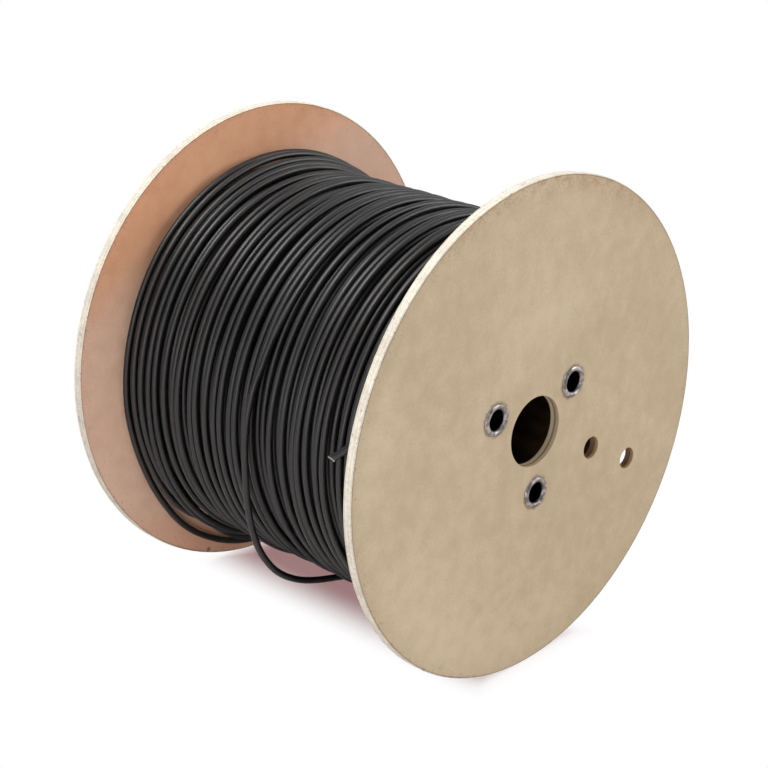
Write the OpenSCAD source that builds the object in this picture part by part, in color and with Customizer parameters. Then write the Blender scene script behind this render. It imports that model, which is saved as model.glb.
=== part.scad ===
// A reel of solar cable: two plywood flanges on a hollow barrel, held together by three steel tie
// tubes whose ends are rolled over into collars, and wound full of black cable. The reel lies on the
// rims of its flanges. X runs along the axis towards the front flange, and Z is up from the floor.

/* [Flanges] */
// Diameter of each plywood flange
flange_d = 400; // [390:1:450]
// Thickness of each flange
flange_t = 8; // [6:0.5:12]
// Clear width between the flanges, which the cable fills
inner_w = 294; // [260:1:330]
// Width of the bevel that breaks the edges of a flange's rim
rim_bevel = 0.8; // [0.3:0.1:1.5]
// Diameter of the spindle bore through both flanges
bore_d = 57; // [40:1:66]

/* [Holes of the front flange] */
// Diameter of the hole for a winder's driving pin
drive_hole_d = 18.5; // [12:0.5:20]
// Distance of the driving hole from the axis
drive_hole_r = 80; // [76:0.5:81]
// Diameter of the hole for the cable's end
end_hole_d = 18; // [12:0.5:24]
// Distance of the end hole from the axis
end_hole_r = 135; // [120:1:170]
// Angle of both holes, from the horizontal
hole_angle = -27.5; // [-45:0.5:-20]

/* [Barrel] */
// Outside diameter of the barrel that the cable is wound on
barrel_d = 196; // [196:1:230]
// Wall of the barrel
barrel_wall = 5; // [3:0.5:6]
// Depth of the ring groove in a flange that an end of the barrel sits in
groove_depth = 3; // [1:0.5:4]
// Clearance on each side of the barrel's wall in its groove
groove_clearance = 0.3; // [0.1:0.1:0.6]

/* [Tie tubes] */
// Diameter of the circle that the tie tubes stand on
tie_circle_d = 104.6; // [98:0.2:112]
// Angle of the first tie tube, from the horizontal
tie_angle = 32.5; // [25:0.5:40]
// Outside diameter of a tie tube
tie_d = 20; // [16:0.5:22]
// Wall of a tie tube
tie_wall = 1.5; // [1:0.1:2.5]
// Outside diameter of the collar rolled at each end of a tie tube
collar_d = 26; // [25:0.5:30]
// Height of that collar above the flange
collar_h = 2; // [1:0.1:2.5]
// Clearance around a tie tube in its holes
tie_clearance = 0.2; // [0.1:0.05:0.5]

/* [Cable] */
// Diameter of the cable
cable_d = 5.5; // [5:0.1:7]
// Depth of the full winding, from the barrel to the crests of its turns
winding_depth = 60.5; // [48:0.5:66]
// How far the slack winding hangs below the axis of the reel
winding_sag = 5; // [0:0.5:7]
// Gap that is left between the turns of the loose outer layer, on average
turn_gap = 3.9; // [1:0.1:5]
// How far those turns stray from even places
turn_stray = 1.4; // [0:0.1:1.8]
// How much higher the turns are stacked against the rear flange
shoulder_h = 3; // [0:0.5:8]
// Width over which they rise to that height
shoulder_w = 57; // [40:1:90]
// How much lower the turns lie against the front flange
drop_h = 24; // [0:1:32]
// Width of that drop
drop_w = 24; // [15:1:50]
// Clearance of the winding from the flanges and the barrel
winding_clearance = 0.3; // [0.1:0.1:0.6]

/* [Hidden] */
$fn = 128;

// Cuts reach this far past the faces that they open
overcut = 1;
axis_height = flange_d / 2;
half_w = inner_w / 2;

tie_count = 3;
tie_bore_d = tie_d - 2 * tie_wall;
collar_w = (collar_d - tie_bore_d) / 2;
// A collar's section is the cap of a circle that stands collar_h high on a base collar_w wide
collar_round = collar_w * collar_w / (8 * collar_h) + collar_h / 2;

winding_r = barrel_d / 2 + winding_depth;
// Turns lie close on the drop, as many as fit
close_w = drop_w - winding_clearance;
close_turns = floor(close_w / cable_d);
close_pitch = close_w / close_turns;
// The loose turns of the outer layer share the rest of the width
loose_w = inner_w - drop_w - winding_clearance;
loose_turns = floor(loose_w / (cable_d + turn_gap));
loose_pitch = loose_w / loose_turns;
// In each gap between them a turn of the layer below shows, this much deeper
layer_h = 0.84 * cable_d;
// The grooves beside the turns are this deep
turn_groove = 0.29 * cable_d;
// Width of the body of a loose turn below its round
turn_foot = 0.9 * cable_d;
// The rise towards the rear flange lies between these distances from the front flange
shoulder_start = inner_w - shoulder_w;
shoulder_end = inner_w - 2 * cable_d;

wood = "BurlyWood";
board = "Peru";
steel = "Silver";
jacket = [0.10, 0.10, 0.11];

// Routes of the cable where it leaves the winding, as stops that each give the distance along X,
// the angle from +Y and the distance from the axis
loop_route = [
    [9, 160, 157], [9, 165, 160.5], [8, 170, 161.5], [7, 175, 162.5], [6, 180, 163],
    [5, 185, 163.5], [4, 190, 164.5], [3, 195, 166.5], [2, 200, 169], [1, 205, 172],
    [0, 210, 175], [0, 215, 178.5], [0, 220, 180.5], [0, 225, 181.5], [1, 230, 180.5],
    [2, 235, 178], [3, 240, 174.5], [4, 245, 171], [5, 250, 168.5], [6, 255, 166.5], [7, 260, 163]
];
// One side of the turn that sags evenly beside the rear flange, down to its lowest point
sag_side = [
    [-141, 205, 160.5], [-141, 208, 163.5], [-141, 211, 165.5], [-141, 215, 167.5], [-141, 220, 170],
    [-141, 225, 173], [-141, 230, 176.5], [-141, 235, 179.5], [-141, 240, 182], [-141, 245, 184],
    [-141, 250, 186], [-141, 255, 187.5], [-141, 260, 188.5], [-141, 265, 189], [-141, 270, 189]
];
sag_route = concat(sag_side, [for (i = [len(sag_side) - 2 : -1 : 0])
    [sag_side[i].x, 540 - sag_side[i].y, sag_side[i].z]]);
tail_route = [
    [141, 130, 140], [141, 135, 142], [140, 140, 144.5], [138.5, 145, 147.5], [136.5, 150, 150.5],
    [134, 155, 153.5], [130.5, 160, 156.5], [126, 164, 159.5], [120.5, 168, 162], [114, 171, 164.5],
    [103, 174.5, 168]
];
cable_sides = 12;

// Height of a smooth step, from 0 below the first value to 1 above the second
function step_up(low, high, at) =
    let (share = min(max((at - low) / (high - low), 0), 1)) share * share * (3 - 2 * share);

// Distances of a close turn and of a loose turn from the front flange
function close_place(i) = winding_clearance + (i + 0.5) * close_pitch;
function loose_place(i) = drop_w + (i + 0.5) * loose_pitch + turn_stray * sin(137.5 * i);

// Radius of the crest of a turn, at its distance from the front flange
function crest(place) =
    winding_r
    - drop_h * max(1 - place / drop_w, 0)
    + shoulder_h * step_up(shoulder_start, shoulder_end, place);

// Point of a cable's route in the reel's frame
function route_point(stop) = [stop.x, stop.z * cos(stop.y), axis_height + stop.z * sin(stop.y)];

function unit(v) = v / norm(v);

// Ring of points around a route's point, square to the cable's run there
function cable_ring(points, i) =
    let (
        last = len(points) - 1,
        run = unit(points[min(i + 1, last)] - points[max(i - 1, 0)]),
        across = unit(cross([1, 0, 0], run)),
        up = cross(run, across)
    )
    [for (k = [0 : cable_sides - 1])
        let (angle = 360 * k / cable_sides)
        points[i] + cable_d / 2 * (cos(angle) * across + sin(angle) * up)];

// Turns a shape that stands around Z onto the reel's axis
module on_axis() {
    translate([0, 0, axis_height]) rotate([0, 90, 0]) children();
}

// Places a shape at a distance and an angle around the axis, before it is turned onto it
module around(distance, angle) {
    translate([-distance * sin(angle), distance * cos(angle), 0]) children();
}

// Cutter for a round hole right through a flange, whose lower face is at height 0
module hole(diameter) {
    translate([0, 0, -overcut]) cylinder(h = flange_t + 2 * overcut, d = diameter);
}

// Bored disc with a bevelled rim and the holes of the tie tubes
module flange_disc() {
    outer = flange_d / 2;
    difference() {
        rotate_extrude()
            polygon([[bore_d / 2, 0], [outer - rim_bevel, 0], [outer, rim_bevel],
                     [outer, flange_t - rim_bevel], [outer - rim_bevel, flange_t], [bore_d / 2, flange_t]]);
        for (i = [0 : tie_count - 1])
            around(tie_circle_d / 2, tie_angle + i * 360 / tie_count) hole(tie_d + 2 * tie_clearance);
    }
}

// Cutter for the ring groove that takes an end of the barrel, open at height 0
module barrel_groove() {
    inner = barrel_d / 2 - barrel_wall - groove_clearance;
    outer = barrel_d / 2 + groove_clearance;
    rotate_extrude()
        translate([inner, -overcut]) square([outer - inner, groove_depth + overcut]);
}

module front_flange() {
    color(wood) on_axis() translate([0, 0, half_w])
        difference() {
            flange_disc();
            barrel_groove();
            around(drive_hole_r, hole_angle) hole(drive_hole_d);
            around(end_hole_r, hole_angle) hole(end_hole_d);
        }
}

module rear_flange() {
    color(wood) on_axis() translate([0, 0, -half_w - flange_t])
        difference() {
            flange_disc();
            translate([0, 0, flange_t]) mirror([0, 0, 1]) barrel_groove();
        }
}

module barrel() {
    length = inner_w + 2 * groove_depth;
    color(board) on_axis()
        rotate_extrude()
            translate([barrel_d / 2 - barrel_wall, -length / 2]) square([barrel_wall, length]);
}

// Section of a tie tube: its wall, and a domed collar on the outer face of each flange
module tie_section() {
    seat = half_w + flange_t;
    translate([tie_bore_d / 2, -seat]) square([tie_wall, 2 * seat]);
    for (end = [0, 1])
        mirror([0, end])
            intersection() {
                translate([(tie_bore_d + collar_w) / 2, seat + collar_h - collar_round])
                    circle(r = collar_round);
                translate([0, seat]) square([collar_d, 2 * collar_round]);
            }
}

module tie_tube(i) {
    color(steel) on_axis()
        around(tie_circle_d / 2, tie_angle + i * 360 / tie_count)
            rotate_extrude() tie_section();
}

// Round of one turn, with its crest at a radius and a distance from the front flange
module turn_round(r, place) {
    translate([r - cable_d / 2, half_w - place]) circle(d = cable_d, $fn = 32);
}

// Section of the winding: a core, the close turns on the drop, the loose turns of the outer
// layer and the turn that shows in each gap between them
module winding_section() {
    close = [for (i = [0 : close_turns - 1]) close_place(i)];
    loose = [for (i = [0 : loose_turns - 1]) loose_place(i)];
    core = concat(
        [for (place = close) [crest(place) - turn_groove, half_w - place]],
        [for (place = loose) [crest(place) - layer_h - turn_groove, half_w - place]]
    );
    last = len(core) - 1;
    floor_r = barrel_d / 4;
    rear = -half_w + winding_clearance;
    front = half_w - winding_clearance;
    polygon(concat(
        [[floor_r, rear], [core[last].x, rear]],
        [for (i = [last : -1 : 0]) core[i]],
        [[core[0].x, front], [floor_r, front]]
    ));
    for (place = close) turn_round(crest(place), place);
    for (place = loose) {
        foot_r = crest(place) - 2 * cable_d;
        turn_round(crest(place), place);
        translate([foot_r, half_w - place - turn_foot / 2])
            square([crest(place) - cable_d / 2 - foot_r, turn_foot]);
    }
    for (i = [0 : loose_turns - 2]) {
        place = (loose[i] + loose[i + 1]) / 2;
        turn_round(crest(place) - layer_h, place);
    }
}

// The wound cable as one turned body, which hangs a little low around its bore on the barrel
module cable_winding() {
    color(jacket)
        difference() {
            translate([0, 0, -winding_sag]) on_axis() rotate_extrude() winding_section();
            on_axis() cylinder(h = inner_w, d = barrel_d + 2 * winding_clearance, center = true);
        }
}

// A free stretch of cable along its route
module cable_run(route) {
    points = [for (stop = route) route_point(stop)];
    last = len(points) - 1;
    color(jacket)
        polyhedron(
            points = [for (i = [0 : last]) each cable_ring(points, i)],
            faces = concat(
                [[for (k = [0 : cable_sides - 1]) k]],
                [for (i = [0 : last - 1], k = [0 : cable_sides - 1])
                    let (here = i * cable_sides, next = here + cable_sides, side = (k + 1) % cable_sides)
                    [here + k, next + k, next + side, here + side]],
                [[for (k = [cable_sides - 1 : -1 : 0]) last * cable_sides + k]]
            )
        );
}

module loose_loop() { cable_run(loop_route); }

module sagging_turn() { cable_run(sag_route); }

module cable_tail() { cable_run(tail_route); }

front_flange();
rear_flange();
barrel();
for (i = [0 : tie_count - 1])
    tie_tube(i);
cable_winding();
loose_loop();
sagging_turn();
cable_tail();
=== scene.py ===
# %% [markdown]
# # A reel of solar cable
# The reel is two plywood discs on a hollow barrel, held together by three steel tubes, and wound full of
# black cable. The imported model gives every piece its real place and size. This script adds what the eye
# sees: each turn of the cable, the free stretches that have sprung out of the winding, and the finish of
# every surface. All lengths are in metres. X runs along the axis of the reel and Z is up.

import math

import bmesh
import bpy
import numpy as np
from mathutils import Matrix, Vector


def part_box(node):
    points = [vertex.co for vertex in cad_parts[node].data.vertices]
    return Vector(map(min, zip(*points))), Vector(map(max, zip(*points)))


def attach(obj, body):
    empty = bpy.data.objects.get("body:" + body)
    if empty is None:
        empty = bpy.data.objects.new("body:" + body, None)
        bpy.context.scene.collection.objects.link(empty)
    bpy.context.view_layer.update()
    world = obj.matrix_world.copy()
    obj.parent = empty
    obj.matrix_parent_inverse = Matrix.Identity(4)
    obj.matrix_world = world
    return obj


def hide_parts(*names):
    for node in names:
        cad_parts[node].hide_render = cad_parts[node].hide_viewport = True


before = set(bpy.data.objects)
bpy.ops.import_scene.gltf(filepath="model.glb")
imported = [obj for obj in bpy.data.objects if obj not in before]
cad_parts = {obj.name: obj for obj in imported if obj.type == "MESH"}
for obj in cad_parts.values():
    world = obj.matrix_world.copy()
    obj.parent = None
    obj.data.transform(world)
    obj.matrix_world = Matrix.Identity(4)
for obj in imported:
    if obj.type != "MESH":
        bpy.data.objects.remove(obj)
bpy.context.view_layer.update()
body = "root"
print("packed pieces:", ", ".join(sorted(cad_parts)))

# %% [markdown]
# ## Sizes that the rest is worked out from
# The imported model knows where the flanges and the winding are, so their sizes are read from it and not
# written again. Only the diameter of the cable is given here, because no piece has it as a side of its box.

# %% Read the sizes of the reel
cable_d = 0.0055
front_low, front_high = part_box("front_flange")
rear_low, rear_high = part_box("rear_flange")
winding_low, winding_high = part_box("cable_winding")
flange_r = (front_high.z - front_low.z) / 2
axis_z = (front_high.z + front_low.z) / 2
wall_x = front_low.x
# The slack winding hangs below the axis, around a middle of its own
winding_z = (winding_high.z + winding_low.z) / 2
print(f"flange radius {flange_r:.3f}, axis {axis_z:.3f}, winding around {winding_z:.4f}, wall {wall_x:.4f}")

# %% [markdown]
# ## The camera
# A camera is a place, a direction and a lens. The photograph was taken from the front right and a little
# above, with a long lens, which keeps the two discs nearly the same size. Aiming along a direction with
# `to_track_quat` keeps the horizon level, so no angle has to be worked out by hand.

# %% Camera
camera_data = bpy.data.cameras.new("camera")
camera_data.sensor_width = 36
camera_data.lens = 89.1
camera = bpy.data.objects.new("camera", camera_data)
camera.location = (0.9885, -1.0352, 0.7921)
camera.rotation_euler = Vector((-0.6389, 0.6658, -0.3853)).to_track_quat("-Z", "Y").to_euler()
bpy.context.scene.collection.objects.link(camera)
bpy.context.scene.camera = camera
print("camera at", tuple(camera.location))

# %% [markdown]
# ## Free stretches of cable
# Three stretches have left the winding: a loop that hangs out at the front, a slack turn that sags beside
# the rear disc, and the tail that ends cut off. Each follows a route of stops. A stop says how far along
# the axis, at which angle and how far from the axis the cable is, in millimetres and degrees, which is how
# one would measure it on the reel. Straight lines from stop to stop would show their corners, so a smooth
# line goes through the stops.

# %% Routes of the free stretches
loop_stops = [
    (9, 160, 157), (9, 165, 160.5), (8, 170, 161.5), (7, 175, 162.5), (6, 180, 163),
    (5, 185, 163.5), (4, 190, 164.5), (3, 195, 166.5), (2, 200, 169), (1, 205, 172),
    (0, 210, 175), (0, 215, 178.5), (0, 220, 180.5), (0, 225, 181.5), (1, 230, 180.5),
    (2, 235, 178), (3, 240, 174.5), (4, 245, 171), (5, 250, 168.5), (6, 255, 166.5), (7, 260, 163),
]
sag_side = [
    (-141, 188, 159.8), (-141, 192, 160.2), (-141, 196, 160.8), (-141, 200, 161.7), (-141, 205, 163.2),
    (-141, 210, 165), (-141, 215, 167.4), (-141, 220, 170), (-141, 225, 173), (-141, 230, 176.5),
    (-141, 235, 179.5), (-141, 240, 182), (-141, 245, 184), (-141, 250, 186), (-141, 255, 187.5),
    (-141, 260, 188.5), (-141, 265, 189), (-141, 270, 189),
]
sag_stops = sag_side + [(x, 540 - angle, r) for x, angle, r in reversed(sag_side[:-1])]
tail_stops = [
    (141, 130, 140), (141, 135, 142), (140, 140, 144.5), (138.5, 145, 147.5), (136.5, 150, 150.5),
    (134, 155, 153.5), (130.5, 160, 156.5), (126, 164, 159.5), (120.5, 168, 162), (114, 171, 164.5),
    (103, 174.5, 168),
]


def route(stops):
    """Points of a route in the reel's frame."""
    x, angle, r = np.array(stops, float).T
    turned = np.radians(angle)
    return np.column_stack((x, r * np.cos(turned), r * np.sin(turned))) / 1000 + (0, 0, axis_z)


def smooth_route(points, steps=4):
    """More points on the smooth line through the given ones, steps to each span."""
    padded = np.vstack((2 * points[0] - points[1], points, 2 * points[-1] - points[-2]))
    share = np.linspace(0, 1, steps, endpoint=False)[:, None]
    spans = []
    for before, here, there, after in zip(padded, padded[1:], padded[2:], padded[3:]):
        bend = 2 * before - 5 * here + 4 * there - after
        twist = 3 * (here - there) + after - before
        spans.append(here + ((there - before) * share + bend * share**2 + twist * share**3) / 2)
    return np.vstack((*spans, points[-1:]))


def run_length(points):
    return float(np.linalg.norm(np.diff(points, axis=0), axis=1).sum())


loop_line = smooth_route(route(loop_stops))
sag_line = smooth_route(route(sag_stops))
tail_line = smooth_route(route(tail_stops))
for title, line in (("loop", loop_line), ("sagging turn", sag_line), ("tail", tail_line)):
    print(f"{title}: {run_length(line):.3f} m in {len(line)} rings")

# %% [markdown]
# ## A tube along a line
# Cable is the same all along, so a line and a diameter say everything about its shape. A ring could be
# swept along the line by hand. A curve with a round bevel makes the tube by itself, and it is then turned
# into a mesh, so that its rings stay where the line's points are.

# %% Tubes of the free stretches


def cable_tube(name, runs, resolution=4):
    """A piece with a round tube of the cable's diameter along each run, with closed ends."""
    lines = bpy.data.curves.new(name, "CURVE")
    lines.dimensions = "3D"
    lines.bevel_depth = cable_d / 2
    lines.bevel_resolution = resolution
    lines.use_fill_caps = True
    for points in runs:
        spline = lines.splines.new("POLY")
        spline.points.add(len(points) - 1)
        spline.points.foreach_set("co", np.column_stack((points, np.ones(len(points)))).ravel())
    draft = bpy.data.objects.new(name + "_line", lines)
    bpy.context.scene.collection.objects.link(draft)
    evaluated = draft.evaluated_get(bpy.context.evaluated_depsgraph_get())
    mesh = bpy.data.meshes.new_from_object(evaluated)
    bpy.data.objects.remove(draft)
    mesh.name = name
    mesh.shade_smooth()
    piece = bpy.data.objects.new(name, mesh)
    bpy.context.scene.collection.objects.link(piece)
    form = bmesh.new()
    form.from_mesh(mesh)
    print(f"{name}: {len(mesh.polygons)} faces, {form.calc_volume(signed=True) * 1e6:.1f} cm3")
    form.free()
    return piece


loop_cable = cable_tube("loop_cable", [loop_line])
sagging_cable = cable_tube("sagging_cable", [sag_line])
# The tail's tube runs on past its end, so that the cut has something to take off
overlong = tail_line[-1] + 1.6 * (tail_line[-1] - tail_line[-2])
tail_cable = cable_tube("tail_cable", [np.vstack((tail_line, overlong))])

# %% [markdown]
# ## The cut end
# The tail was nipped off with cutters, which squeeze the cable flat and leave a slanted face. Points near
# the end move apart one way and together the other, `bisect_plane` makes the cut, and two insets divide
# the face into jacket, insulation and conductor.

# %% Nip off the tail
cut_at = Vector(tail_line[-1])
cut_run = (cut_at - Vector(tail_line[-2])).normalized()
cut_face = Vector((-0.05, -0.79, -0.62)).normalized()
squeeze = cut_run.cross(cut_face).normalized()
squeeze_reach = 0.009
spread, flatten = 0.35, 0.25
jacket_wall, insulation_wall = 0.0006, 0.0011
conductor_proud = 0.0003
tail_form = bmesh.new()
tail_form.from_mesh(tail_cable.data)
for vert in tail_form.verts:
    off = vert.co - cut_at
    before = -off.dot(cut_run)
    if before < squeeze_reach:
        share = 1 - max(before, 0) / squeeze_reach
        aside = squeeze * off.dot(squeeze)
        centre = cut_at - cut_run * before
        across = vert.co - centre - aside
        vert.co += share**2 * (spread * aside - flatten * across)
everything = tail_form.verts[:] + tail_form.edges[:] + tail_form.faces[:]
cut = bmesh.ops.bisect_plane(tail_form, geom=everything, dist=0.00005, plane_co=cut_at, plane_no=cut_face,
                             clear_outer=True)
cut_edges = [part for part in cut["geom_cut"] if isinstance(part, bmesh.types.BMEdge)]
end_face = bmesh.ops.contextual_create(tail_form, geom=cut_edges)["faces"]
for material_index, thickness in ((1, jacket_wall), (2, insulation_wall)):
    bmesh.ops.inset_region(tail_form, faces=end_face, thickness=thickness)
    for face in end_face:
        face.material_index = material_index
for vert in end_face[0].verts:
    vert.co += conductor_proud * cut_face
tail_form.to_mesh(tail_cable.data)
print(f"cut end: {len(end_face)} conductor face, {tail_form.calc_volume(signed=True) * 1e6:.2f} cm3 of tail")
tail_form.free()

# %% [markdown]
# ## The free stretches in place of the plain ones
# Each free stretch is attached to the reel's body and takes the place of the plain stretch in the imported
# model, which is hidden. Its length and what is on its far end are printed.

for piece, line, far_end, lay, node in (
    (loop_cable, loop_line, "object", "hanging", "loose_loop"),
    (sagging_cable, sag_line, "object", "hanging", "sagging_turn"),
    (tail_cable, tail_line, "bare", "loose", "cable_tail"),
):
    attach(piece, body)
    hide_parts(node)
    print(f"{piece.name} stands for {node}, {run_length(line):.3f} m, far end: {far_end}")

# %% [markdown]
# ## How the winder laid the cable
# A winder guides the cable along the reel and back while the reel turns. Wound fast, each pass leaves gaps
# between its turns, and the next pass crosses it at a shallow angle, going the other way. One tube per
# turn, all alike, would look like a screw thread. So each pass gets a place along the axis for every
# station around every turn, with some wander, and its distance from the axis is then worked out from what
# lies below: a turn rests on the turns that it crosses, in their valleys or over their crests.

# %% Stations around the reel
stations = 120
angles = np.arange(stations) * 2 * math.pi / stations
flange_gap = 0.0003
reach_x = wall_x - flange_gap - cable_d / 2
print(f"{stations} stations to a turn, turns lie within {reach_x * 1000:.1f} mm of the middle")

# %% Smooth wander
draws = np.random.default_rng(7)


def soften(values, reach):
    """The values, averaged over about reach stations to each side."""
    weights = np.exp(-0.5 * (np.arange(-3 * reach, 3 * reach + 1) / reach) ** 2)
    padded = np.pad(values, 3 * reach, mode="edge")
    return np.convolve(padded, weights / weights.sum(), "valid")


def drift(count, reach):
    """Smooth random numbers of unit spread, which change over about reach stations."""
    values = soften(draws.standard_normal(count), reach)
    return values / values.std()


print("a step, softened over 2 stations:", np.round(soften(np.repeat((0.0, 1.0), 4), 2), 2))

# %% One pass, and what it rests on


def lay_pass(stops, wander, gather):
    """Place along the axis at every station of one pass, from stops of turns wound and place."""
    wound, places = zip(*stops)
    turns = wound[-1]
    along = np.arange(turns * stations) / stations
    loose = np.clip(np.minimum(along, turns - along) / 2.5, 0, 1)
    x = np.interp(along, wound, places)
    x = x + loose * (wander * drift(x.size, stations // 5) + gather * drift(x.size, 2 * stations))
    x = x.reshape(turns, stations)
    towards = np.sign(places[-1] - places[0])
    for turn in range(1, turns):
        x[turn] = towards * np.maximum(towards * x[turn], towards * x[turn - 1] + cable_d)
    return np.clip(soften(x.ravel(), 3), -reach_x, reach_x).reshape(turns, stations)


def rest_on(x, layers):
    """Distance from the axis at which the turns at x rest on the layers below them."""
    r = np.zeros_like(x)
    for low_x, low_r in layers:
        gap = np.abs(x[:, None, :] - low_x[None, :, :])
        top = low_r[None, :, :] + np.sqrt(np.maximum(cable_d**2 - gap**2, 0))
        r = np.maximum(r, np.where(gap < cable_d, top, 0).max(axis=1))
    # The cable is too stiff to follow every step, so it bridges them
    flat = np.pad(r.ravel(), 4, mode="edge")
    bridged = np.max([flat[shift:shift + r.size] for shift in range(9)], axis=0)
    return soften(bridged, 4).reshape(x.shape)


straight = np.zeros((1, stations))
stacked = rest_on(straight, [(straight, straight + 0.1)])
print(f"a turn right on top of one at 100 mm lies at {1000 * stacked.mean():.1f} mm")

# %% [markdown]
# ## The outline that the winding fills
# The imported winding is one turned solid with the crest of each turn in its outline. Its vertices give the
# radius of the winding at any place along the axis, which the layers then fill up to.

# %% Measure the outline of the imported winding
corners = np.array([v.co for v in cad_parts["cable_winding"].data.vertices])
corner_r = np.hypot(corners[:, 1], corners[:, 2] - winding_z)
slices = np.linspace(-wall_x, wall_x, 99)
middles = (slices[:-1] + slices[1:]) / 2
outline = np.array([
    corner_r[(corners[:, 0] >= low) & (corners[:, 0] <= high)].max()
    for low, high in zip(slices, slices[1:])
])
# The highest within reach and then the lowest of those close the gaps between the turns, not the slopes
wide = 5
near = np.lib.stride_tricks.sliding_window_view
crests = near(near(np.pad(outline, wide - 1), wide).max(axis=1), wide).min(axis=1)


def crest(x):
    return np.interp(x, middles, crests)


print("crests in mm:", np.round(crests[::8] * 1000, 1))

# %% [markdown]
# ## The last three passes
# Only the last passes of the winding can be seen. The lowest of them lies close, turn against turn, deep
# enough to leave room for the other two. The next one goes back with gaps between its turns, and the last
# crosses it on its way to the rear flange, where its two last turns stay.

# %% Lay the two lower passes
base_turns = 52
middle_turns = 32
middle_end = 0.119
stack_h = 0.0112
front_drop = 0.002


def ease(low, high, at):
    """0 up to the first value, 1 from the second, and a soft step between them."""
    share = np.clip((at - low) / (high - low), 0, 1)
    return share * share * (3 - 2 * share)


def floor_r(x):
    """Radius of the lowest modelled layer, which leaves room for the passes above it."""
    lowered = front_drop + (stack_h - front_drop) * ease(0.020, 0.034, wall_x - x)
    return crest(x) - cable_d / 2 - lowered


def say_layer(title, layer):
    x, r = layer
    low, mean, high = 1000 * (np.array((r.min(), r.mean(), r.max())) + cable_d / 2)
    print(f"{title}: {len(x)} turns, crests {mean:.1f} mm on average, {low:.1f} to {high:.1f}")


base_x = lay_pass(((0, reach_x), (base_turns, -reach_x)), 0, 0)
base = (base_x, floor_r(base_x))
say_layer("base", base)
middle_x = lay_pass(((0, -reach_x), (1, -reach_x), (middle_turns, middle_end)), 0.0018, 0.004)
middle = (middle_x, rest_on(middle_x, [base]))
say_layer("middle", middle)

# %% Lay the top pass
# The last two turns stay against the rear flange, and the very last is wound around the axis itself
rear_x = sag_line[0][0]
rear_r = math.hypot(sag_line[0][1], sag_line[0][2] - axis_z)
top_turns = 28
top_x = lay_pass(((0, 0.116), (25.9, -0.1295), (26.1, rear_x + cable_d), (26.9, rear_x + cable_d),
                  (27.1, rear_x), (top_turns, rear_x)), 0.0022, 0.0045)
# The turn that is nearest to the loop moves over to it, and its neighbours with it
loop_leaves = loop_stops[0][1] * stations // 360
loop_turn = int(np.abs(top_x[:, loop_leaves] - loop_line[0][0]).argmin())
pull = np.exp(-((np.arange(top_turns) - loop_turn) / 2.0) ** 2)
top_x = top_x + ((loop_line[0][0] - top_x[loop_turn, loop_leaves]) * pull)[:, None]
top_r = rest_on(top_x, [base, middle])
print(f"turn {loop_turn} of {top_turns} goes out into the loop")

# %% [markdown]
# ## The slack turns beside the rear flange
# The winder ended against the rear flange, and those turns have sprung loose. Over the top they climb up to
# the last one, and below two of them sag beside it. Their distance from the axis is given by stops of angle
# and distance in the winding, in degrees and millimetres, one row for each turn counted from the last.

# %% Lead the slack turns
around = np.degrees(angles)
beside_last = {
    -5: ((20, 156), (90, 157.3), (165, 155.5)),
    -4: ((20, 157), (90, 159.2), (165, 157.2)),
    -3: ((20, 160), (60, 161.4), (90, 161.8), (120, 161.4), (150, 160.7), (200, 160), (228, 160.5),
         (233, 161.5), (237, 163.5), (241, 168), (245, 171), (250, 172.5), (260, 173.5), (270, 174),
         (285, 173), (300, 170), (320, 165), (340, 160)),
    -2: ((20, 161), (60, 163.8), (90, 164.5), (120, 163.8), (150, 162), (170, 161), (190, 161),
         (200, 161.3), (206, 162), (212, 163), (219, 164.5), (225, 165.5), (230, 165), (235, 162.5),
         (240, 159.5), (245, 158.5)),
}
for turn, stops in beside_last.items():
    at, distance = zip(*stops)
    led = ease(at[0] - 10, at[0] + 10, around) * (1 - ease(at[-1] - 10, at[-1] + 10, around))
    top_r[turn] += led * (soften(np.interp(around, at, distance), 2) / 1000 - top_r[turn])
wound = np.arange(top_turns * stations).reshape(top_x.shape) / stations
tight = ease(top_turns - 1.2, top_turns - 0.9, wound)
top_r = top_r + tight * (rear_r + (axis_z - winding_z) * np.sin(angles) - top_r)
top = (top_x, top_r)
say_layer("top", top)

# %% [markdown]
# ## From layers to runs of cable
# A layer is a table of places, a row to each turn. Read row by row it is one run of points, which a tube can
# follow. Below the axis the turns hang a little lower than they were wound. The ends of a run dive under
# their neighbours, or bend over to where a free stretch begins.

# %% Runs and their ends
tuck = 1.2 * cable_d
below = np.maximum(-np.sin(angles), 0) ** 1.5


def slack(turns, most):
    """How much lower each turn hangs at its lowest point, as drawn turn by turn."""
    return np.outer(np.minimum(draws.exponential(most / 3, turns), most), below)


def run_points(layer, hang, tuck_last=True):
    """The points of a whole pass, in order, with its first end, and its last, under their neighbours."""
    x, r = layer
    turned = np.tile(angles, len(x))
    flat = (r + hang).ravel()
    step = np.arange(flat.size)
    ends = np.minimum(step, step[::-1]) if tuck_last else step
    flat = flat - tuck * (1 - ease(0, 12, ends))
    return np.column_stack((x.ravel(), flat * np.cos(turned), winding_z + flat * np.sin(turned)))


def bend_to(points, target, at_end, reach=16):
    """The run with its end bent over to a point, so that the cable goes on from there."""
    order = points if at_end else points[::-1]
    weight = ease(len(order) - reach, len(order), np.arange(1, len(order) + 1))[:, None]
    bent = np.vstack((order + (target - order[-1]) * weight, target))
    return bent if at_end else bent[::-1]


base_run = run_points(base, 0)
middle_run = run_points(middle, slack(middle_turns, 0.002))
top_hang = slack(top_turns, 0.004)
# Towards the sagging turn the turns hang more and more, and the last three already have their places
top_hang[-6:] = np.outer((0.005, 0.008, 0.011, 0, 0, 0), below)
top_run = run_points(top, top_hang, tuck_last=False)
for title, run in (("base", base_run), ("middle", middle_run), ("top", top_run)):
    print(f"{title}: {run_length(run):.1f} m of cable")

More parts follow.
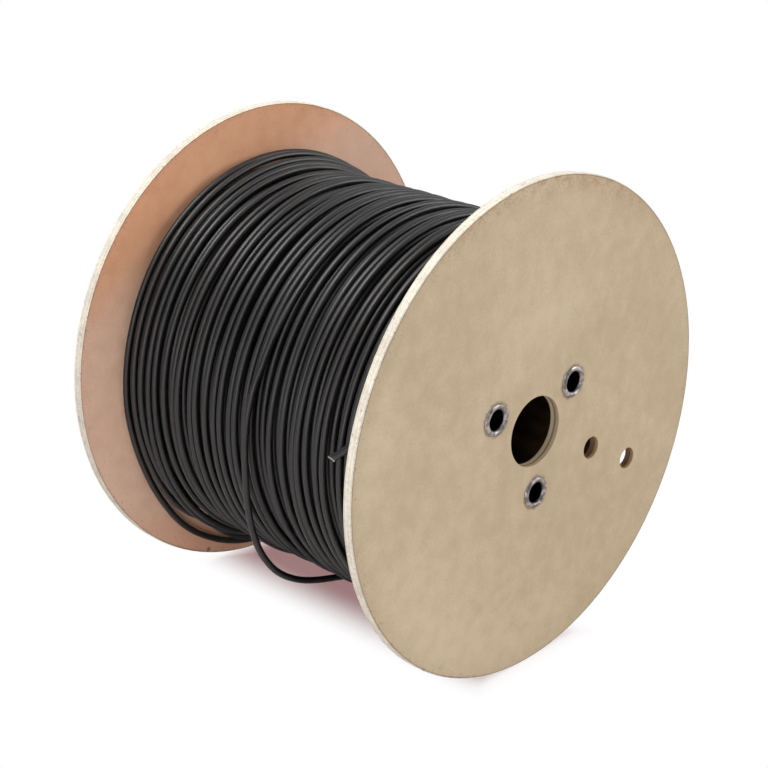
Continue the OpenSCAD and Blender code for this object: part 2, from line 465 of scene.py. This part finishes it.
# %% Leave room for the free stretches
loop_returns = loop_stops[-1][1] * stations // 360
sag_leaves = sag_side[0][1] * stations // 360
loop_start = loop_turn * stations + loop_leaves - 1
loop_end = loop_turn * stations + loop_returns + 2
sag_start = (top_turns - 1) * stations + sag_leaves
# Past the sagging turn the cable goes on for a little and dives under its neighbours
dive_angles = np.arange(355, 380, 3)
dive_r = 1000 * rear_r - 8 * ease(352, 376, dive_angles)
dive_run = np.vstack((sag_line[-1:], route([(1000 * rear_x, a, r) for a, r in zip(dive_angles, dive_r)])))
top_runs = [
    bend_to(top_run[:loop_start], loop_line[0], at_end=True),
    bend_to(bend_to(top_run[loop_end:sag_start], sag_line[0], at_end=True), loop_line[-1], at_end=False),
    dive_run,
]
# The tail comes out of a last turn beside the front flange
front_x = tail_line[0][0]
front_turned = np.radians(np.arange(10, 129, 3))
front_step = np.arange(front_turned.size)
front_r = floor_r(front_x) + 0.9 * cable_d - tuck * (1 - ease(0, 10, front_step))
front_run = np.column_stack((np.full(front_turned.size, front_x), front_r * np.cos(front_turned),
                             winding_z + front_r * np.sin(front_turned)))
front_run = bend_to(front_run, tail_line[0], at_end=True)
print(f"top pass in {len(top_runs)} runs, front turn {run_length(front_run):.2f} m")

# %% Tubes of the winding
winding_pieces = [
    cable_tube("winding_base_layer", [base_run], 3),
    cable_tube("winding_middle_layer", [middle_run]),
    cable_tube("winding_top_layer", top_runs),
    cable_tube("winding_front_turn", [front_run]),
]

# %% [markdown]
# ## The turns inside
# Nobody sees the turns below the last few layers, so they are one body: an outline turned around the axis.
# `bmesh.ops.spin` with a full turn makes it, and `use_merge` closes the seam.

# %% Core of the winding
barrel_r = (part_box("barrel")[1].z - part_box("barrel")[0].z) / 2
barrel_gap = 0.0005
inner_r = barrel_r + abs(axis_z - winding_z) + barrel_gap
core = bmesh.new()
crown_x = np.linspace(-reach_x, reach_x, 54)
section = [(-reach_x, inner_r)] + [(x, float(floor_r(x))) for x in crown_x] + [(reach_x, inner_r)]
rim = [core.verts.new((x, 0, winding_z + r)) for x, r in section]
edges = [core.edges.new(pair) for pair in zip(rim, rim[1:] + rim[:1])]
bmesh.ops.spin(core, geom=rim + edges, cent=(0, 0, winding_z), axis=(1, 0, 0), angle=2 * math.pi,
               steps=96, use_merge=True)
bmesh.ops.recalc_face_normals(core, faces=core.faces)
core_mesh = bpy.data.meshes.new("winding_core")
core.to_mesh(core_mesh)
print(f"core: {len(core.faces)} faces, {core.calc_volume(signed=True) * 1000:.2f} litres")
core.free()
core_mesh.shade_smooth()
winding_core = bpy.data.objects.new("winding_core", core_mesh)
bpy.context.scene.collection.objects.link(winding_core)
winding_pieces.append(winding_core)

for piece in winding_pieces:
    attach(piece, body)
    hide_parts("cable_winding")

# %% [markdown]
# ## Writing materials as sums
# A material is a tree of nodes. Wiring it by hand hides the idea, so one small class stands for the output
# of a node: adding or multiplying two of them adds a Math node, and `node` makes any other kind.

# %% Sums of sockets


class Wire:
    """An output in a material's tree of nodes, which takes part in Python's sums."""

    def __init__(self, tree, socket=None):
        self.tree = tree
        self.socket = socket

    def node(self, kind, settings, inputs, output=0):
        """Adds a node: its settings first, then the values or links of its sockets."""
        made = self.tree.nodes.new("ShaderNode" + kind)
        for name, value in settings.items():
            setattr(made, name, value)
        for name, value in inputs.items():
            if isinstance(value, Wire):
                self.tree.links.new(value.socket, made.inputs[name])
            else:
                made.inputs[name].default_value = value
        return Wire(self.tree, made.outputs[output] if made.outputs else None)

    def math(self, operation, *values):
        return self.node("Math", {"operation": operation}, dict(enumerate(values)))

    def __add__(self, other):
        return self.math("ADD", self, other)

    def __radd__(self, other):
        return self.math("ADD", other, self)

    def __sub__(self, other):
        return self.math("SUBTRACT", self, other)

    def __rsub__(self, other):
        return self.math("SUBTRACT", other, self)

    def __mul__(self, other):
        return self.math("MULTIPLY", self, other)

    def __rmul__(self, other):
        return self.math("MULTIPLY", other, self)

    def parts(self):
        """The X, Y and Z of a place."""
        made = self.node("SeparateXYZ", {}, {0: self}).socket.node
        return [Wire(self.tree, output) for output in made.outputs]

    def rise(self, low, high):
        """0 below the first value, 1 above the second, and a soft step between them."""
        return self.node("MapRange", {"interpolation_type": "SMOOTHSTEP"},
                         {0: self, 1: low, 2: high, 3: 0.0, 4: 1.0})

    def between(self, low_colour, high_colour):
        """The first colour where this value is 0, the second where it is 1."""
        return self.node("Mix", {"data_type": "RGBA"}, {0: self, 6: low_colour, 7: high_colour}, 2)

    def noise(self, scale, detail, stretch=(1, 1, 1)):
        """Cloudy values over the piece, with scale clouds to the metre."""
        placed = self.node("Mapping", {}, {"Vector": self, "Scale": stretch})
        return self.node("TexNoise", {}, {"Vector": placed, "Scale": scale, "Detail": detail})


def srgb(red, green, blue):
    """A colour as a picture stores it, 0 to 255, as the linear light that a shader takes."""
    parts = [value / 255 for value in (red, green, blue)]
    return tuple(p / 12.92 if p <= 0.04045 else ((p + 0.055) / 1.055) ** 2.4 for p in parts) + (1.0,)


def new_material(name):
    """An empty material, with a wire to start from and its place on the piece."""
    material = bpy.data.materials.new(name)
    material.use_nodes = True
    material.node_tree.nodes.clear()
    start = Wire(material.node_tree)
    return material, start.node("TexCoord", {}, {}, "Object")


def finish_material(material, place, settings):
    """Gives the material its shader, with the values or links in settings."""
    shader = place.node("BsdfPrincipled", {}, settings)
    place.node("OutputMaterial", {}, {"Surface": shader})


def set_material(piece, *materials):
    """Gives the piece its materials in order, and keeps which face has which."""
    slots = piece.data.materials
    while len(slots) < len(materials):
        slots.append(None)
    for slot, material in enumerate(materials):
        slots[slot] = material


print("materials are written as sums of", Wire.__name__, "objects")

# %% [markdown]
# ## Cable jacket
# The jacket is black cross-linked plastic with a satin skin. It is never one flat black: it carries dust,
# and handling has polished it in places, so the roughness changes more than the colour does.

# %% Cable jacket


def cable_jacket():
    material, place = new_material("cable_jacket")
    dust = place.noise(38, 4).rise(0.45, 0.75)
    fine = place.noise(900, 2)
    colour = (0.35 * dust + 0.25 * fine).between(srgb(4, 4, 5), srgb(20, 19, 19))
    rough = 0.42 + 0.10 * dust + 0.05 * fine
    bump = place.node("Bump", {}, {"Strength": 0.08, "Distance": 0.0002, "Height": fine})
    finish_material(material, place, {"Base Color": colour, "Roughness": rough, "Normal": bump,
                                      "Specular IOR Level": 0.61})
    return material


def cut_insulation():
    material, place = new_material("cut_insulation")
    smear = place.noise(900, 3)
    colour = smear.rise(0.3, 0.7).between(srgb(168, 166, 162), srgb(214, 212, 208))
    finish_material(material, place, {"Base Color": colour, "Roughness": 0.5})
    return material


def tinned_wire():
    material, place = new_material("tinned_wire")
    wires = place.node("TexVoronoi", {}, {"Vector": place, "Scale": 2600.0})
    # Painted shade: dark in the gaps between the wire ends
    colour = wires.rise(0.2, 0.6).between(srgb(150, 146, 140), srgb(52, 48, 44))
    bump = place.node("Bump", {"invert": True}, {"Strength": 0.8, "Distance": 0.0001, "Height": wires})
    finish_material(material, place, {"Base Color": colour, "Roughness": 0.4, "Metallic": 0.8,
                                      "Normal": bump})
    return material


jacket = cable_jacket()
for piece in winding_pieces + [loop_cable, sagging_cable]:
    set_material(piece, jacket)
set_material(tail_cable, jacket, cut_insulation(), tinned_wire())
print("jacket on", len(winding_pieces) + 3, "pieces")

# %% [markdown]
# ## Plywood
# A flange is a disc sawn from thin plywood. Its outer face is tan, and its inner face is pink below and
# orange above, with quiet blotches all over, painted shade on its far side and painted bounce light at its
# foot. Both come from the place on the piece: the depth in the board is 0 at the inner face and 1 at the
# outer one, and everything between is sawn edge, on the rim and in the holes. A picture of wood would show
# its seams there.

# %% Colours of the plywood
tan = (srgb(184, 164, 132), srgb(204, 186, 157))
pink = (srgb(223, 179, 152), srgb(241, 203, 177))
orange = (srgb(202, 144, 107), srgb(220, 165, 129))
# Painted shade: a duller pink for the far side of the inner face
shaded_pink = srgb(196, 158, 134)
# Painted bounce light: a paler, redder pink for the foot of the inner face, where the winding shades it
bounce_lit_pink = srgb(255, 192, 156)
rim_plies = (srgb(222, 215, 201), srgb(196, 188, 172))
dark_wood = srgb(112, 88, 60)
damp_brown = srgb(164, 122, 88)
# Dark colour for dirt and painted shade on the plywood
dirt_and_shade_brown = srgb(98, 74, 56)
ply_count = 5
print("tan in linear light:", [tuple(round(part, 3) for part in colour[:3]) for colour in tan])

# %% Faces and sawn edges of the plywood


def warm_side(y, z, tone, blotch):
    """The inner face: orange at the top, pink below, with painted shade on the far side and painted bounce
    light at the foot.
    """
    # Painted shade, duller towards the far side
    far_side_shade = 0.6 * y.rise(0.02, 0.14)
    pink_face = far_side_shade.between(tone.between(*pink), shaded_pink)
    upward = (z - 0.35 * y + 0.06 * blotch).rise(0.13, 0.20)
    # Painted bounce light, paler towards the foot
    foot_light = 0.6 * (0 - z).rise(0.11, 0.17)
    return foot_light.between(upward.between(pink_face, tone.between(*orange)), bounce_lit_pink)


def sawn_edge(place, radius, depth, fibre):
    """Pale plies on the rim, and in the holes one dark ply between two pale ones."""
    plies = place.math("PINGPONG", depth * ply_count, 1.0).rise(0.35, 0.65)
    rim_colour = (0.40 * plies + 0.60 * fibre.rise(0.35, 0.75)).between(*rim_plies)
    small_hole = radius.rise(0.035, 0.050)
    inner_ply = small_hole.between(srgb(190, 175, 147), srgb(164, 130, 98))
    outer_ply = small_hole.between(srgb(172, 154, 124), srgb(168, 136, 102))
    pale_plies = depth.rise(0.40, 0.50).between(inner_ply, outer_ply)
    dark_ply = 1 - place.math("ABSOLUTE", depth - 0.5).rise(0.06, 0.16)
    bored = (0.8 * dark_ply).between(pale_plies, dark_wood)
    return radius.rise(0.17, 0.18).between(bored, rim_colour)


print(f"the rim shows {ply_count} plies, and the holes 3")

# %% [markdown]
# ## Dirt and painted shade on the plywood
# Plywood takes dirt where it is touched: specks along the rim, and a nick where it was dropped. Painted
# shade darkens the bevel along the rim, and a band near the rim is darker on the left of the outer face.
# Around the tie tubes a dark mottled ring is dirt with painted contact shade. Damp has browned the top of
# the outer face. Each is a mask of 0 to 1, and their sum says how much of the dark colour shows.

# %% Dirt and painted shade on the plywood
tie_names = ("tie_tube_1", "tie_tube_2", "tie_tube_3")
nick_angle = math.radians(248)
nick_r = flange_r - 0.003


def flat_length(place, across, up):
    return place.math("SQRT", across * across + up * up)


def dirt_and_shade(place, y, z, radius, outer_face, inner_face, mottle, nicks):
    """How dark the board is from dirt and painted shade, at its rim, the tie tubes and its nicks."""
    towards_rim = radius.rise(flange_r - 0.016, flange_r - 0.001)
    specks = place.noise(520, 3).rise(0.60, 0.72) * (0.12 + towards_rim)
    worn = radius.rise(flange_r - 0.007, flange_r) * mottle.rise(0.42, 0.68)
    # Painted shade: a dark line on the bevel along the rim, on both faces
    arris_shade = radius.rise(flange_r - 0.0020, flange_r - 0.0010) * (outer_face + inner_face)
    # A darker band near the rim on the left of the outer face
    band = radius.rise(flange_r - 0.020, flange_r - 0.002)
    left_rim_band = band * (0 - y).rise(0.06, 0.16) * outer_face
    grime_and_shade = 0.40 * specks + 0.16 * worn + 0.45 * arris_shade + 0.10 * left_rim_band
    # A dark mottled ring around each tie tube: dirt, with painted contact shade at the collar
    smudge_and_shade = place.noise(260, 3).rise(0.40, 0.62)
    for low, high in map(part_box, tie_names):
        off = flat_length(place, y - (low.y + high.y) / 2, z - ((low.z + high.z) / 2 - axis_z))
        grime_and_shade = grime_and_shade + 0.55 * smudge_and_shade * (1 - off.rise(0.0130, 0.0160))
    for angle in nicks:
        off = flat_length(place, y - nick_r * math.cos(angle), z - nick_r * math.sin(angle))
        grime_and_shade = grime_and_shade + 0.7 * (1 - off.rise(0.0008, 0.0030))
    return grime_and_shade


def damp_stain(place, y, z, radius, outer_face):
    """How much damp has browned the outer face along the top of its rim."""
    top_rim = radius.rise(flange_r - 0.022, flange_r - 0.002) * (z + 0.1 * y).rise(0.13, 0.19)
    damp = (0.5 * place.noise(120, 4) + 0.5 * place.noise(420, 3)).rise(0.40, 0.62)
    return 0.5 * top_rim * outer_face * damp


print(f"nick at {math.degrees(nick_angle):.0f} degrees, {1000 * (flange_r - nick_r):.0f} mm inside the rim")

# %% Plywood of both flanges


def plywood(name, inner_x, outer_x, nicks=()):
    material, place = new_material(name)
    x, y, height = place.parts()
    z = height - axis_z
    radius = flat_length(place, y, z)
    depth = (x - inner_x) * (1 / (outer_x - inner_x))
    outer_face = depth.rise(0.985, 0.995)
    inner_face = 1 - depth.rise(0.005, 0.015)

    blotch = place.noise(9, 4)
    mottle = place.noise(70, 4)
    sand = place.noise(700, 2)
    fibre = place.noise(420, 4)
    tone = (0.45 * blotch + 0.35 * mottle + 0.20 * sand).rise(0.32, 0.68)
    edge_or_tan = outer_face.between(sawn_edge(place, radius, depth, fibre), tone.between(*tan))
    colour = inner_face.between(edge_or_tan, warm_side(y, z, tone, blotch))
    stained = damp_stain(place, y, z, radius, outer_face).between(colour, damp_brown)
    dirty_and_shaded = dirt_and_shade(place, y, z, radius, outer_face, inner_face, mottle, nicks).between(stained, dirt_and_shade_brown)
    rough = 0.62 + 0.18 * mottle
    bump = place.node("Bump", {}, {"Strength": 0.2, "Distance": 0.0003, "Height": mottle + 0.6 * fibre})
    finish_material(material, place, {"Base Color": dirty_and_shaded, "Roughness": rough, "Normal": bump})
    return material


front_plywood = plywood("front_plywood", front_low.x, front_high.x)
rear_plywood = plywood("rear_plywood", rear_high.x, rear_low.x, nicks=[nick_angle])
set_material(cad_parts["front_flange"], front_plywood)
set_material(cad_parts["rear_flange"], rear_plywood)
print("nodes in the plywood:", len(front_plywood.node_tree.nodes), len(rear_plywood.node_tree.nodes))

# %% [markdown]
# ## Steel and board
# The tie tubes are zinc-plated steel, rolled over at their ends. Plating wears in clouds, which change both
# its colour and its shine, and inside the tubes painted shade makes it dark. The barrel is brown board, and
# little of it is ever seen, so its fibre is enough.

# %% Steel tubes and board barrel


def tie_steel():
    material, place = new_material("tie_steel")
    cloud = place.noise(260, 4)
    worn = cloud.rise(0.40, 0.65).between(srgb(122, 116, 114), srgb(184, 178, 175))
    x = place.parts()[0]
    outside = place.math("ABSOLUTE", x).rise(front_high.x - 0.0008, front_high.x - 0.0002)
    # Painted shade: dark inside the tube, all along between the outer faces of the flanges
    colour = outside.between(srgb(34, 32, 32), worn)
    rough = 0.36 + 0.20 * cloud
    finish_material(material, place, {"Base Color": colour, "Roughness": rough, "Metallic": 1.0})
    return material


def barrel_board():
    material, place = new_material("barrel_board")
    fibre = place.noise(120, 4, stretch=(0.3, 1, 1))
    colour = fibre.rise(0.3, 0.7).between(srgb(84, 62, 42), srgb(116, 88, 62))
    finish_material(material, place, {"Base Color": colour, "Roughness": 0.85})
    return material


steel = tie_steel()
for name in tie_names:
    set_material(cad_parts[name], steel)
set_material(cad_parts["barrel"], barrel_board())
print("steel on 3 tubes, board on the barrel")

# %% [markdown]
# ## Floor and light
# The photograph is a cut-out on white with a soft, reddish shadow below the winding. So the camera sees a
# white floor, and a lit one only below the reel, where the shadow stays. Light from the reel meets a plain
# pale floor.

# %% Floor
floor_form = bmesh.new()
bmesh.ops.create_grid(floor_form, x_segments=1, y_segments=1, size=6)
floor_mesh = bpy.data.meshes.new("floor")
floor_form.to_mesh(floor_mesh)
floor_form.free()
floor = bpy.data.objects.new("floor", floor_mesh)
bpy.context.scene.collection.objects.link(floor)
print(f"floor: {floor.dimensions.x:.0f} by {floor.dimensions.y:.0f} m")

# %% Finish of the floor


def ray_kinds(wire):
    """Two masks: what the camera sees itself, and what it sees in a mirror or through a glass."""
    path = wire.node("LightPath", {}, {}).socket.node
    camera_ray, glossy_ray, through_ray = (
        Wire(wire.tree, path.outputs[f"Is {kind} Ray"]) for kind in ("Camera", "Glossy", "Transmission")
    )
    return camera_ray, glossy_ray + through_ray


def floor_white():
    material, place = new_material("floor_white")
    camera_ray, mirrored = ray_kinds(place)
    lit = place.node("BsdfDiffuse", {}, {"Color": (0.72, 0.8, 0.8, 1)})
    glow = place.node("Emission", {}, {"Color": (0.20, 0.05, 0.055, 1), "Strength": 1.0})
    shaded = place.node("AddShader", {}, {0: lit, 1: glow})
    x, y = place.parts()[:2]
    beside = place.math("MAXIMUM", place.math("ABSOLUTE", y).rise(0.022, 0.080),
                        place.math("ABSOLUTE", x).rise(0.13, 0.17))
    away = flat_length(place, x, y).rise(1.0, 2.0)
    white = place.node("Emission", {}, {"Color": (1, 1, 1, 1), "Strength": 1.0})
    seen = place.node("MixShader", {}, {0: beside, 1: shaded, 2: white})
    plain = place.node("BsdfDiffuse", {}, {"Color": (0.76, 0.72, 0.72, 1)})
    reflected = place.node("MixShader", {}, {0: mirrored * away, 1: plain, 2: white})
    shader = place.node("MixShader", {}, {0: camera_ray, 1: reflected, 2: seen})
    place.node("OutputMaterial", {}, {"Surface": shader})
    return material


set_material(floor, floor_white())
print("floor finish:", floor.data.materials[0].name)

# %% [markdown]
# ## Light
# The light is a bright room. A picture of a room could light the reel, but a few soft lamps are easier to
# steer: one overhead, one for the front face, and two weak ones that make the cable shine. The world is dim,
# with a paler side behind the reel, and white where the camera sees it.

# %% World
world = bpy.data.worlds.new("bright_room")
bpy.context.scene.world = world
world.use_nodes = True
world.node_tree.nodes.clear()
sky = Wire(world.node_tree)
direction = sky.node("TexCoord", {}, {}, "Generated")
behind = sky.node("VectorMath", {"operation": "DOT_PRODUCT"}, {0: direction, 1: (-0.69, 0.72, 0.0)}, "Value")
backdrop = behind.rise(0.0, 0.6)
camera_ray, mirrored = ray_kinds(sky)
dim = sky.node("Background", {}, {"Color": (1, 1, 1, 1), "Strength": 0.14})
pale = sky.node("Background", {}, {"Color": (1, 1, 1, 1), "Strength": 0.45})
room = sky.node("MixShader", {}, {0: backdrop, 1: dim, 2: pale})
white = sky.node("Background", {}, {"Color": (1, 1, 1, 1), "Strength": 1.0})
whole = sky.node("MixShader", {}, {0: camera_ray + 0.5 * mirrored * backdrop, 1: room, 2: white})
sky.node("OutputWorld", {}, {"Surface": whole})
print("nodes in the world:", len(world.node_tree.nodes))

# %% Lamps


def soft_lamp(name, location, target, size, power):
    """A lamp with a broad face, aimed at a place."""
    data = bpy.data.lights.new(name, "AREA")
    data.shape = "RECTANGLE"
    data.size, data.size_y = size
    data.energy = power
    lamp = bpy.data.objects.new(name, data)
    lamp.location = location
    lamp.rotation_euler = (Vector(target) - Vector(location)).to_track_quat("-Z", "Y").to_euler()
    bpy.context.scene.collection.objects.link(lamp)


soft_lamp("key_lamp", (-0.2, -0.6, 2.05), (-0.2, 0, 0.2), (1.3, 1.0), 40)
soft_lamp("front_lamp", (1.6, 1.7, 1.2), (0, 0, 0.2), (1.4, 1.4), 35.5)
soft_lamp("fill_lamp", (0.8, -1.6, 1.2), (0, 0, 0.2), (1.0, 1.0), 7)
soft_lamp("low_lamp", (0.38, -1.0, 0.36), (0.0, 0, 0.1), (0.5, 0.3), 2.2)
bpy.context.scene.view_settings.view_transform = "Standard"
print("lamps:", ", ".join(f"{lamp.name} {lamp.energy:.1f} W" for lamp in bpy.data.lights))
